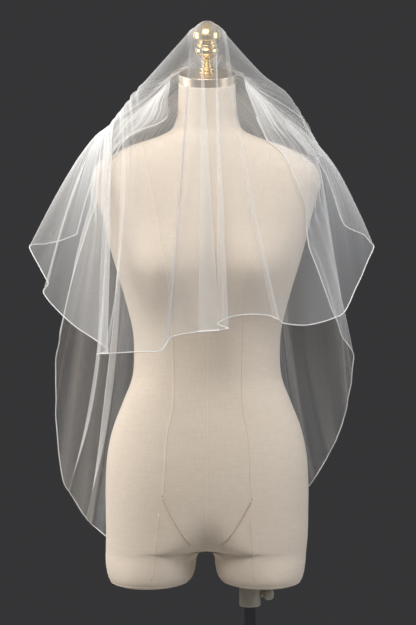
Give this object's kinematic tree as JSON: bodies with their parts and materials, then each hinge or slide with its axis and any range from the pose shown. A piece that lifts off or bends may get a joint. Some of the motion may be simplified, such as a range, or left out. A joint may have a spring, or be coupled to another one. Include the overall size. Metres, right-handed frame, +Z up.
{
  "type": "bridal veil on a dress form",
  "caption": "Gathered tulle bridal veil with a shorter tier thrown forward and a longer back tier, draped on a limbless linen dress form with a turned finial, pole and round base.",
  "frame": {"origin": "centre of the round base's underside, on the floor", "axes": "+Z up, the dress form faces -Y, +X to the viewer's right when it is seen from the front"},
  "size_m": [0.5622, 0.3535, 1.6229],
  "materials": {
    "tulle": "sheer ivory-white net",
    "edge_cord": "white rolled cord",
    "ribbon": "white satin ribbon",
    "comb_plastic": "frosted",
    "linen": "natural linen, matt",
    "nickel": "polished nickel",
    "brass": "polished",
    "chrome": "polished",
    "grey_metal": "satin",
    "steel": "brushed"
  },
  "bodies": {
    "root": {"front_tier": "tulle", "back_tier": "tulle", "front_tier_edge": "edge_cord", "back_tier_edge": "edge_cord", "gather_band": "ribbon", "comb": "comb_plastic", "dress_form": "linen", "neck_cap": "nickel", "finial": "brass", "pole": "chrome", "pole_collar": "grey_metal", "clamp_screw": "grey_metal", "pole_flange": "steel", "base_plate": "steel"}
  },
  "joints": []
}
